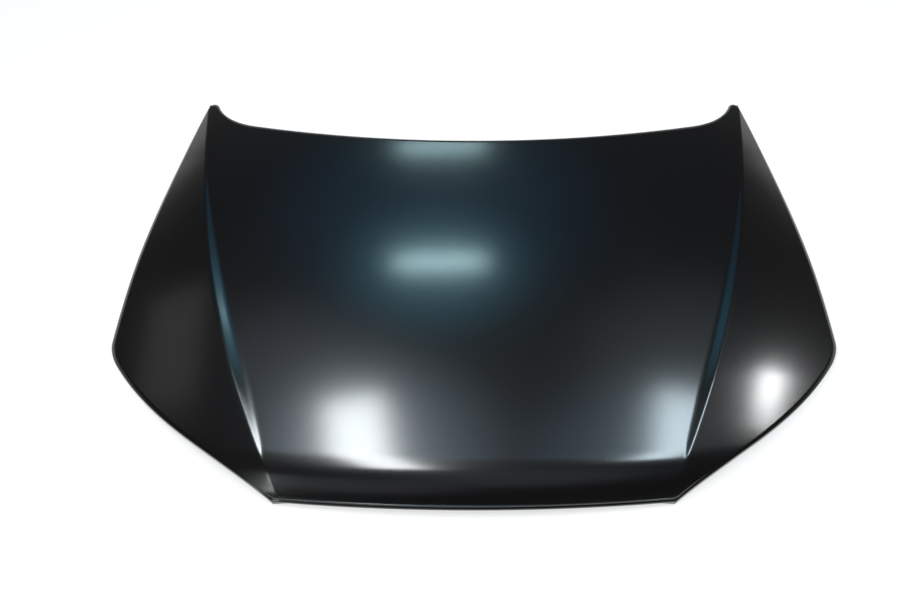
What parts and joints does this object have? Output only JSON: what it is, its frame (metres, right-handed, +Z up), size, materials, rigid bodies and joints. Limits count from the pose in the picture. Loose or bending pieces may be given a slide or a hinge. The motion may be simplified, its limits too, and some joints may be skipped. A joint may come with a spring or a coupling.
{
  "type": "car bonnet",
  "caption": "Pressed steel car bonnet, a crowned outer skin with two sharp ridges hemmed round a pressed inner frame, with hinge seats and a striker.",
  "frame": {"origin": "on the surface that the bonnet lies on, under the middle of its plan outline", "axes": "+X to the bonnet's side that lies to the right as seen from its front edge looking to the windscreen, +Y from the front edge to the windscreen edge, +Z up"},
  "size_m": [1.5166, 1.046, 0.1086],
  "materials": {
    "skin_primer": "black electrocoat primer, semi-gloss",
    "frame_primer": "black electrocoat primer, satin",
    "plate_primer": "black electrocoat primer, satin",
    "zinc_plate": "zinc-plated steel",
    "mastic": "matt grey mastic"
  },
  "bodies": {
    "root": {"hinge_reinforcement_left": "plate_primer", "hinge_reinforcement_right": "plate_primer", "hinge_weld_nut_left_front": "zinc_plate", "hinge_weld_nut_left_rear": "zinc_plate", "hinge_weld_nut_right_front": "zinc_plate", "hinge_weld_nut_right_rear": "zinc_plate", "inner_frame": "frame_primer", "latch_reinforcement": "plate_primer", "mastic_pad_01": "mastic", "mastic_pad_02": "mastic", "mastic_pad_03": "mastic", "mastic_pad_04": "mastic", "mastic_pad_05": "mastic", "mastic_pad_06": "mastic", "mastic_pad_07": "mastic", "mastic_pad_08": "mastic", "mastic_pad_09": "mastic", "mastic_pad_10": "mastic", "mastic_pad_11": "mastic", "mastic_pad_12": "mastic", "mastic_pad_13": "mastic", "mastic_pad_14": "mastic", "mastic_pad_15": "mastic", "mastic_pad_16": "mastic", "outer_panel": "skin_primer", "striker_bolt_left": "zinc_plate", "striker_bolt_right": "zinc_plate", "striker_hoop": "zinc_plate", "striker_plate": "plate_primer", "striker_weld_nut_left": "zinc_plate", "striker_weld_nut_right": "zinc_plate"}
  },
  "joints": []
}
